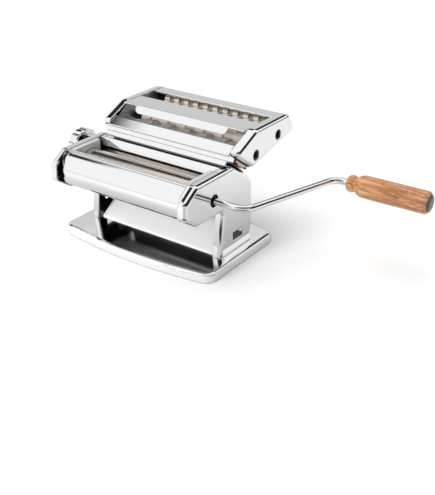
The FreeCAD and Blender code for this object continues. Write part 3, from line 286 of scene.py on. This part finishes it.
def cutter_nickel(name, back, up, dark, light, metal):
    """Ringed cutters on the axis at back and up: bright on the rings, with a painted tone in the
    grooves, and painted near black at the ends as painted shade.
    """
    finish = Finish(name)
    across = finish.axis("Y") - back
    height = finish.axis("Z") - up
    radius = (across * across + height * height).math("SQRT")
    ring = radius.between(*CUTTER_RING)
    lathe = finish.noise(2200, (1, 0.02, 0.02), 2.0)
    stains = finish.noise(130, (1, 1, 1), 4.0)
    worn = finish.mix(stains, (0.92, 0.81, 0.70), (0.98, 0.91, 0.83))
    # Painted groove tone: painted light in the wide cutters, painted shade in the narrow ones.
    dull = finish.mix(stains, dark, light)
    # Painted shade: the cutter ends are painted near black.
    end = finish.axis("X").math("ABSOLUTE").between(*CUTTER_END)
    tint = finish.mix(end, finish.mix(ring, dull, worn), (0.03, 0.027, 0.023))
    return finish.surface(base_color=tint, metallic=metal, roughness=0.42 - ring * 0.18 + lathe * 0.08,
                          normal=finish.bump(lathe, 0.1, LINE_DEPTH))


def plated_steel(name, light, dark, rough, metal=1.0):
    """Inner pieces and strips: plain plated steel with a mottled dullness."""
    finish = Finish(name)
    mottle = finish.noise(90, detail=5.0)
    grain = finish.noise(1500, (0.08, 1, 1), 2.0)
    return finish.surface(base_color=finish.mix(mottle, dark, light), metallic=metal,
                          roughness=rough + mottle * 0.12, normal=finish.bump(grain, 0.2, LINE_DEPTH))


def rail_chrome(name, dark, light):
    """The rail and its channel: chromed strip, left unplated and browned at the sheared right end of
    the rail; the channel's right end is painted near black as painted shade.
    """
    finish = Finish(name)
    bare_and_shaded_end = finish.axis("X").between(*RAIL_END)
    stains = finish.noise(160, detail=4.0)
    stain_and_shade_tone = finish.mix(stains, dark, light)
    grain = finish.noise(1500, (0.08, 1, 1), 2.0)
    return finish.surface(base_color=finish.mix(bare_and_shaded_end, (0.90, 0.905, 0.91), stain_and_shade_tone), metallic=1.0,
                          roughness=0.05 + bare_and_shaded_end * 0.25 + grain * 0.03,
                          normal=finish.bump(grain, 0.05, LINE_DEPTH))


def bush_bronze():
    """Bushes: porous bronze, painted near black as painted shade for the dark holes they sit in."""
    finish = Finish("bush_bronze")
    pores = finish.noise(1800, detail=2.0).between(0.35, 0.6)
    tint = finish.mix(pores, (0.045, 0.035, 0.025), (0.11, 0.085, 0.055))
    return finish.surface(base_color=tint, metallic=1.0, roughness=0.5 - pores * 0.12,
                          normal=finish.bump(pores, 0.3, LINE_DEPTH))


def varnished_beech():
    """The grip: beech with its grain along the handle, short ray flecks and a satin varnish."""
    finish = Finish("varnished_beech")
    drift = finish.noise(60, (0.25, 1, 1), 3.0)
    grain = finish.noise(420, (0.05, 1, 1), 4.0, 0.6, distortion=0.4)
    flecks = finish.noise(900, (0.16, 1, 1), 2.0, 0.5, (0.2, 0.6, 0.3)).between(0.62, 0.72)
    pores = finish.noise(2400, (0.06, 1, 1), 1.0, 0.5, (0.7, 0.1, 0.9)).between(0.60, 0.75)
    tint = finish.mix(drift.between(0.35, 0.65), (0.40, 0.160, 0.052), (0.74, 0.410, 0.215))
    tint = finish.mix(grain.between(0.40, 0.64) * 0.85, tint, (0.25, 0.088, 0.024))
    tint = finish.mix(flecks * 0.9, tint, (0.13, 0.045, 0.014))
    tint = finish.mix(pores * 0.70, tint, (0.80, 0.54, 0.34))
    return finish.surface(base_color=tint, roughness=0.42 + grain * 0.12, coat_weight=0.25,
                          coat_roughness=0.18,
                          normal=finish.bump(grain + flecks * 0.5, 0.2, GRAIN_DEPTH))


finishes = {
    "chrome": bright_chrome("bright_chrome"),
    "roller_nickel": turned_nickel(),
    "inner_steel": plated_steel("plated_steel", (0.62, 0.62, 0.62), (0.46, 0.46, 0.47), 0.30),
    "rail_steel": rail_chrome("rail_chrome", (0.50, 0.36, 0.28), (0.66, 0.52, 0.43)),
    "bush_bronze": bush_bronze(),
    "grip_beech": varnished_beech(),
}
legs = bright_chrome("leg_chrome", hollow=True)
guide = plated_steel("guide_steel", (0.86, 0.86, 0.86), (0.74, 0.74, 0.74), 0.38, metal=0.35)
own_finishes = {
    "base_plate": base_chrome(),
    "chute_panel": satin_steel(),
    # Painted reflection: the washer is painted near black for the dark room it reflects.
    "grip_washer": plated_steel("washer_painted_reflection", (0.17, 0.155, 0.15), (0.09, 0.08, 0.08), 0.20),
    "left_dough_guide": guide,
    "right_dough_guide": guide,
    "left_side_frame": legs,
    "right_side_frame": legs,
    # Painted shade: the channel's right end is painted near black.
    "cutter_mount_channel": rail_chrome("channel_painted_shade_end", (0.02, 0.017, 0.015), (0.05, 0.042, 0.036)),
}

# Grooves of the wide cutters in front and the narrow ones behind: dark, light, and how metallic. The
# wide grooves are painted near white, as painted light against the shade of their slot; the narrow
# grooves are painted darker, as painted shade.

WIDE_GROOVES = (0.90, 0.80, 0.735), (0.97, 0.90, 0.845), 0.10
NARROW_GROOVES = (0.58, 0.475, 0.38), (0.77, 0.665, 0.555), 0.55


def ringed_finish(name):
    low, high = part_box(name)
    axis = (low + high) / 2
    grooves = WIDE_GROOVES if name.startswith("front") else NARROW_GROOVES
    return cutter_nickel(f"{name}_nickel", axis.y, axis.z, *grooves)


for name, item in nodes.items():
    item.data.materials.clear()
    slot = slot_of[name]
    if slot == "cutter_nickel":
        item.data.materials.append(ringed_finish(name))
    else:
        item.data.materials.append(own_finishes.get(name, finishes[slot]))


# The raised inner half of each side frame's brow, which slopes from the head down to the nose

BROW_TOP_FRONT = -0.0610
BROW_DROP = 0.0125
BROW_KINK = 0.0010
STEP_SHARE = 0.83
STEP_MIDDLE = 0.515
STEP_WIDTH = 0.0054
STEP_HEIGHT = 0.0023
STEP_SINK = 0.0003
STEP_BEVEL = 0.0019
RIM_SHARE = 0.4


def brow_step(carrier, side):
    """A bar on the flat of the brow, sunk into it a little and bevelled on its outer and lower rim."""
    low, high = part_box(carrier)
    inner = low.x if side > 0 else high.x
    head = Vector((0, BROW_TOP_FRONT, high.z))
    nose = Vector((0, low.y + BROW_KINK, high.z - BROW_DROP))
    slope = math.atan2(head.z - nose.z, head.y - nose.y)
    length = (head - nose).length * STEP_SHARE

    bpy.ops.object.select_all(action="DESELECT")
    bpy.ops.mesh.primitive_cube_add(size=1.0)
    step = bpy.context.object
    step.name = carrier.replace("side_frame", "brow_step")
    step.scale = (STEP_WIDTH, length, STEP_HEIGHT + STEP_SINK)
    bpy.ops.object.transform_apply(location=False, rotation=False, scale=True)

    mesh = step.data
    for group in (mesh.polygons, mesh.edges, mesh.vertices):
        group.foreach_set("select", [False] * len(group))
    for edge in mesh.edges:
        centre = sum((mesh.vertices[place].co for place in edge.vertices), Vector()) / 2
        outside = centre.x * side > STEP_WIDTH * RIM_SHARE
        lower = centre.y < -length * RIM_SHARE
        edge.select = centre.z > 0 and (outside or lower)
    bpy.context.tool_settings.mesh_select_mode = (False, True, False)
    bpy.ops.object.mode_set(mode="EDIT")
    bpy.ops.mesh.bevel(offset=STEP_BEVEL, segments=1)
    bpy.ops.object.mode_set(mode="OBJECT")

    normal = Vector((0, -math.sin(slope), math.cos(slope)))
    step.rotation_euler.x = slope
    step.location = nose.lerp(head, STEP_MIDDLE) + normal * (STEP_HEIGHT - STEP_SINK) / 2
    step.location.x = inner + side * STEP_WIDTH / 2
    bpy.ops.object.transform_apply()
    mesh.materials.append(own_finishes[carrier])
    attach(step, body_of[carrier])


brow_step("left_side_frame", -1)
brow_step("right_side_frame", 1)


# Floor, light and camera. The studio is a white tent, open to an unlit room on one side.

ROOM_SIDE = (0.644, -0.765)
PAPER_SIZE = 8.0
PAPER_DROP = 0.0002
EVEN_LIGHT = 0.72
BLACK_CLOTH = 0.98
LOW_SHADE = 0.36

CAMERA_PLACE = (0.4934, -0.5865, 0.400)
CAMERA_TURN = 36.035
CAMERA_FALL = 28.535
CAMERA_ROLL = -0.364
LENS_MM = 57.28
SENSOR_MM = 36.0


def studio_floor():
    """White paper. Seen in the chrome it carries painted shade: darker near the object, and near black
    on its side towards the room.
    """
    bpy.ops.mesh.primitive_plane_add(size=PAPER_SIZE, location=(0, 0, -PAPER_DROP))
    floor = bpy.context.object
    floor.name = "studio_floor"
    finish = Finish("studio_floor")
    path = finish.node("ShaderNodeLightPath")
    glossy = finish.value(path, "Is Glossy Ray")
    across = finish.axis("X")
    ahead = finish.axis("Y")
    distance = (across * across + ahead * ahead).math("SQRT")
    towards = (across * ROOM_SIDE[0] + ahead * ROOM_SIDE[1]) / distance
    # Painted shade, seen only in reflections: the paper is darker near the object and near black
    # towards the room.
    near = distance.between(0.150, 0.185) * (1 - distance.between(0.22, 0.30) * 0.6)
    unlit = towards.between(0.80, 0.95) * near * glossy
    close = 1 - distance.between(0.12, 0.34)
    white = finish.mix(finish.noise(3.0, detail=2.0), (0.91, 0.91, 0.91), (0.93, 0.93, 0.93))
    shade = finish.mix(glossy * (0.15 + close * 0.27), white, (0.0, 0.0, 0.0))
    paper = finish.node("ShaderNodeBsdfDiffuse", None, {
        "Color": finish.mix(unlit, shade, (0.03, 0.03, 0.03))})
    finish.node("ShaderNodeOutputMaterial", None, {"Surface": paper.outputs[0]})
    floor.data.materials.append(finish.block)


def studio_world():
    """Even light. In the chrome the tent is black at the room, low on the right and at two seams."""
    world = bpy.data.worlds.new("studio")
    scene.world = world
    finish = Finish("studio", world)
    path = finish.node("ShaderNodeLightPath")
    glossy = finish.value(path, "Is Glossy Ray")
    direction = finish.node("ShaderNodeTexCoord").outputs["Generated"]
    split = finish.node("ShaderNodeSeparateXYZ", None, {"Vector": direction})
    across, ahead, up = (finish.value(split, name) for name in ("X", "Y", "Z"))
    towards = across * ROOM_SIDE[0] + ahead * ROOM_SIDE[1]
    right = across * -ROOM_SIDE[1] + ahead * ROOM_SIDE[0]
    behind = 0 - towards
    room = towards.between(0.32, 0.44) * (0.30 + up.between(0.34, 0.46) * 0.70)
    flag = right.between(0.30, 0.45) * (1 - up.between(0.17, 0.24))
    rear_seam = behind.between(0.35, 0.45) * up.between(0.495, 0.525) * (1 - up.between(0.74, 0.77))
    right_seam = towards.between(0.02, 0.07) * right.between(0.40, 0.55) * (1 - up.between(0.78, 0.84))
    dark = room.math("MAXIMUM", flag).math("MAXIMUM", rear_seam).math("MAXIMUM", right_seam)
    low_rear = behind.between(0.45, 0.70) * (1 - up.between(0.42, 0.52))
    tent = (1 - low_rear * LOW_SHADE) * (1 - dark * BLACK_CLOTH)
    lit = glossy * tent + (1 - glossy) * EVEN_LIGHT
    level = finish.value(path, "Is Camera Ray").math("MAXIMUM", lit)
    light = finish.node("ShaderNodeBackground", None, {"Color": (1, 1, 1, 1), "Strength": level})
    finish.node("ShaderNodeOutputWorld", None, {"Surface": light.outputs[0]})


def lamp(kind, name, source, target, power):
    """A lamp that the chrome doesn't show."""
    bpy.ops.object.light_add(type=kind, location=source)
    made = bpy.context.object
    made.name = name
    made.data.energy = power
    made.rotation_euler = (Vector(target) - Vector(source)).to_track_quat("-Z", "Y").to_euler()
    made.visible_glossy = False
    return made.data


def top_light():
    """A wide sky, from a little to the left."""
    sun = lamp("SUN", "top_light", (-0.35, 0.05, 1.0), (0.0, 0.0, 0.0), 1.45)
    sun.angle = math.radians(50)


def low_fill():
    """A soft lamp that reaches in under the front cover."""
    fill = lamp("AREA", "low_fill", (-0.22, -0.80, 0.26), (0.0, 0.0, 0.02), 0.56)
    fill.size = 0.35
    fill.spread = math.radians(50)


def camera():
    lens = bpy.data.cameras.new("camera")
    lens.sensor_fit = "VERTICAL"
    lens.sensor_height = SENSOR_MM
    lens.lens = LENS_MM
    lens.clip_start = 0.01
    view = bpy.data.objects.new("camera", lens)
    scene.collection.objects.link(view)
    turn = Matrix.Rotation(math.radians(CAMERA_TURN), 4, "Z")
    tilt = Matrix.Rotation(math.radians(90 - CAMERA_FALL), 4, "X")
    roll = Matrix.Rotation(math.radians(CAMERA_ROLL), 4, "Z")
    view.matrix_world = Matrix.Translation(CAMERA_PLACE) @ turn @ tilt @ roll
    scene.camera = view


studio_floor()
studio_world()
top_light()
low_fill()
camera()
scene.view_settings.view_transform = "Standard"
